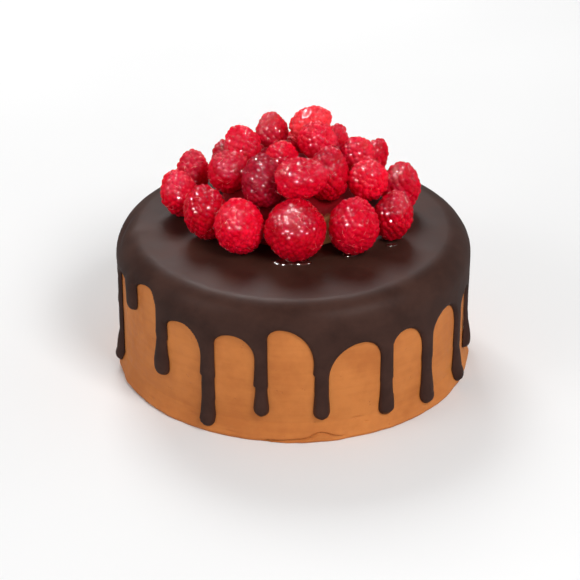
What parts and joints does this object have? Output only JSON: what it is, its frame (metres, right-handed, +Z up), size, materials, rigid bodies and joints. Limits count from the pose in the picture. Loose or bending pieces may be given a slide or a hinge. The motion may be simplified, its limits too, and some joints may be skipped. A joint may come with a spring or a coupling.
{
  "type": "chocolate cake",
  "caption": "Round uncut drip cake coated in caramel-coloured buttercream, with dark ganache over the top and running down the wall, crowned with a heap of fresh raspberries.",
  "frame": {"origin": "middle of the cake's base, on the surface it stands on", "axes": "+Z up; -Y towards the side that the picture shows; +X to its right"},
  "size_m": [0.1722, 0.171, 0.1155],
  "materials": {
    "buttercream": "soft satin, spread with a spatula",
    "ganache": "smooth, half glossy",
    "mound_buttercream": "soft satin",
    "raspberry_flesh": "juicy, brushed with clear glaze"
  },
  "bodies": {
    "root": {"cake": "buttercream", "ganache": "ganache", "buttercream_mound": "mound_buttercream", "raspberry_01": "raspberry_flesh", "raspberry_02": "raspberry_flesh", "raspberry_03": "raspberry_flesh", "raspberry_04": "raspberry_flesh", "raspberry_05": "raspberry_flesh", "raspberry_06": "raspberry_flesh", "raspberry_07": "raspberry_flesh", "raspberry_08": "raspberry_flesh", "raspberry_09": "raspberry_flesh", "raspberry_10": "raspberry_flesh", "raspberry_11": "raspberry_flesh", "raspberry_12": "raspberry_flesh", "raspberry_13": "raspberry_flesh", "raspberry_14": "raspberry_flesh", "raspberry_15": "raspberry_flesh", "raspberry_16": "raspberry_flesh", "raspberry_17": "raspberry_flesh", "raspberry_18": "raspberry_flesh", "raspberry_19": "raspberry_flesh", "raspberry_20": "raspberry_flesh", "raspberry_21": "raspberry_flesh", "raspberry_22": "raspberry_flesh", "raspberry_23": "raspberry_flesh", "raspberry_24": "raspberry_flesh", "raspberry_25": "raspberry_flesh", "raspberry_26": "raspberry_flesh", "raspberry_27": "raspberry_flesh", "raspberry_28": "raspberry_flesh", "raspberry_29": "raspberry_flesh", "raspberry_30": "raspberry_flesh"}
  },
  "joints": []
}
